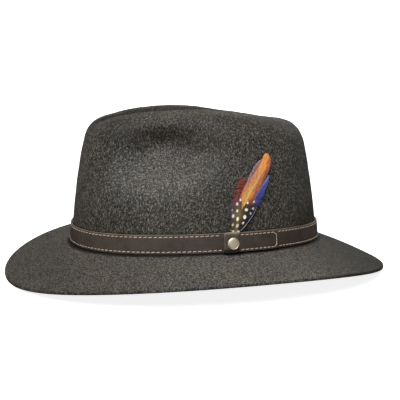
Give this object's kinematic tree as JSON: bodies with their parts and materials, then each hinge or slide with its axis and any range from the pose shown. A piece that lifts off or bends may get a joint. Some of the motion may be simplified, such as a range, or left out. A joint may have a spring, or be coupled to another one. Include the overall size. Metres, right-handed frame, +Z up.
{
  "type": "fedora hat",
  "caption": "Pinch-crown felt fedora with a snap brim, a stitched leather band with a studded keeper and a removable feather trim; leather sweatband and lining inside.",
  "frame": {"origin": "centre of the head oval at the height where brim meets crown", "axes": "+Z up through the crown, front of the hat towards -Y, wearer's left towards +X"},
  "size_m": [0.2884, 0.3228, 0.1357],
  "materials": {
    "felt": "blocked wool felt, mottled charcoal",
    "satin": "woven satin",
    "band_leather": "smooth dark brown leather",
    "ribbon": "woven ribbon",
    "thread": "waxed tan thread",
    "thread_dark": "dark binding thread",
    "stud_metal": "soft brushed nickel",
    "post_metal": "plain",
    "feather_mauve": "feather",
    "feather_blue": "feather",
    "feather_indigo": "feather",
    "feather_gold": "feather",
    "feather_rust": "feather",
    "feather_teal": "feather",
    "feather_guinea": "feather, spotted",
    "sweat_leather": "smooth roan leather",
    "reed_plastic": "extruded cord",
    "tag_paper": "blank tag",
    "bow_ribbon": "grosgrain ribbon"
  },
  "bodies": {
    "hat": {"felt_body": "felt", "lining_side": "satin", "lining_tip": "satin", "hat_band": "band_leather", "band_backing": "ribbon", "band_tab": "band_leather", "band_stitch_top": "thread", "band_stitch_bottom": "thread", "tab_stitch": "thread", "keeper_patch": "band_leather", "stud_cap": "stud_metal", "stud_post": "post_metal", "sweatband": "sweat_leather", "reed_tape": "ribbon", "sweatband_reed": "reed_plastic", "sweatband_stitch": "thread", "sweatband_seam_tape": "ribbon", "size_tag": "tag_paper", "bow_loops": "bow_ribbon", "bow_knot": "bow_ribbon"},
    "feather_trim": {"mauve_feather": "feather_mauve", "blue_feather": "feather_blue", "indigo_feather": "feather_indigo", "golden_feather": "feather_gold", "rust_hackle": "feather_rust", "teal_herl": "feather_teal", "guinea_feather": "feather_guinea", "quill_binding": "thread_dark"}
  },
  "joints": [
    {"name": "feather_pull", "type": "slide", "parent": "hat", "child": "feather_trim", "axis": [-0.0995, 0, 0.995], "range_m": [0, 0.04]}
  ]
}
